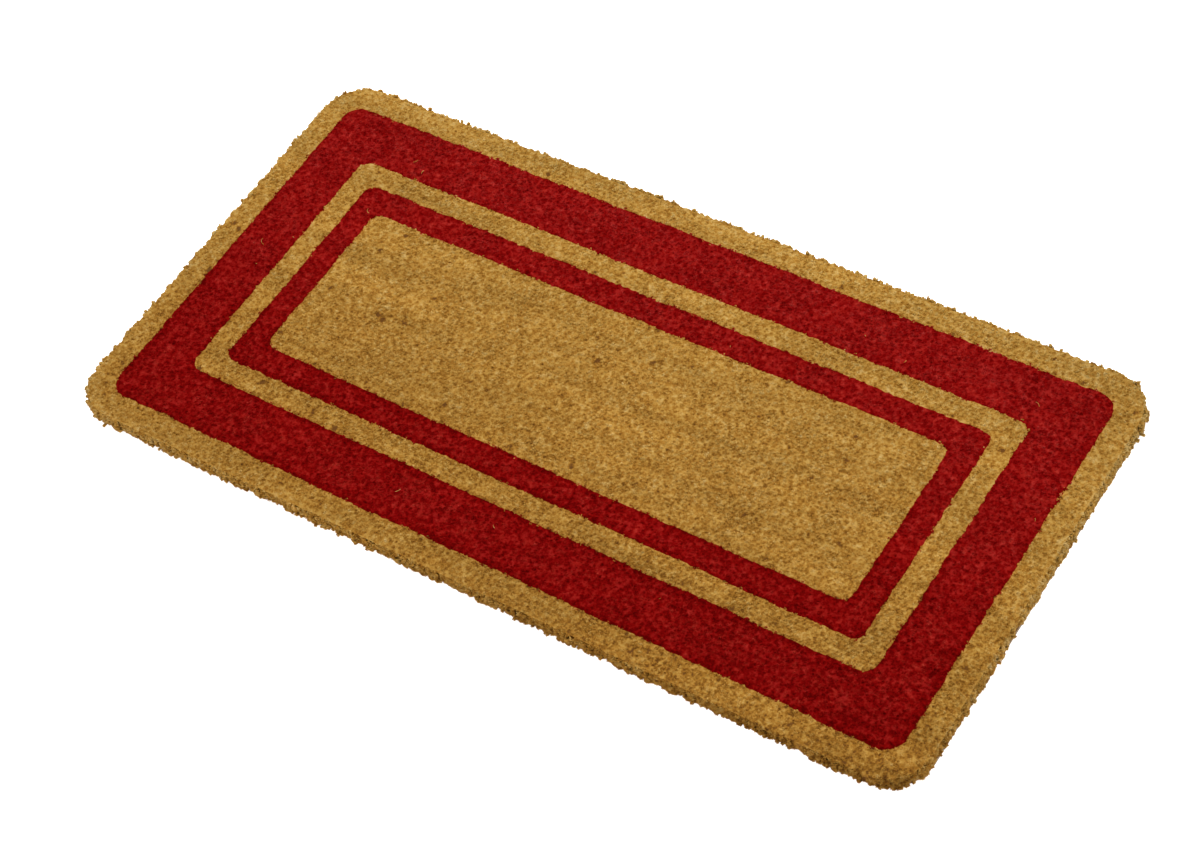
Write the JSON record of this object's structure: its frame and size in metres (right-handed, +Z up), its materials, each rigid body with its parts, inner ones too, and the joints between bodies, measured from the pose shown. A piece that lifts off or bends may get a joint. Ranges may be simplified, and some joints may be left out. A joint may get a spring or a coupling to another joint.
{
  "type": "door mat",
  "caption": "Rectangular inlaid coir door mat with rounded corners: natural border and centre field, wide and narrow red bands, on a reinforced vinyl base.",
  "frame": {"origin": "centre of the underside, on the plane that the mat rests on", "axes": "+X along the length of the mat, +Y across it, +Z up out of the pile"},
  "size_m": [0.9144, 0.4572, 0.017],
  "materials": {
    "natural_coir": "matte clipped coconut fibre, undyed",
    "red_coir": "matte clipped coconut fibre, dyed red",
    "bed_vinyl": "soft matte vinyl with fibre roots in it",
    "base_vinyl": "soft matte vinyl, finely textured",
    "adhesive": "cured hot-melt film",
    "scrim_yarn": "open woven glass and polyester yarn"
  },
  "bodies": {
    "root": {"base_sheet": "base_vinyl", "scrim": "scrim_yarn", "bonding_film": "adhesive", "border_bed": "bed_vinyl", "wide_band_bed": "bed_vinyl", "narrow_band_bed": "bed_vinyl", "inner_band_bed": "bed_vinyl", "centre_bed": "bed_vinyl", "border_pile": "natural_coir", "wide_band_pile": "red_coir", "narrow_band_pile": "natural_coir", "inner_band_pile": "red_coir", "centre_pile": "natural_coir"}
  },
  "joints": []
}
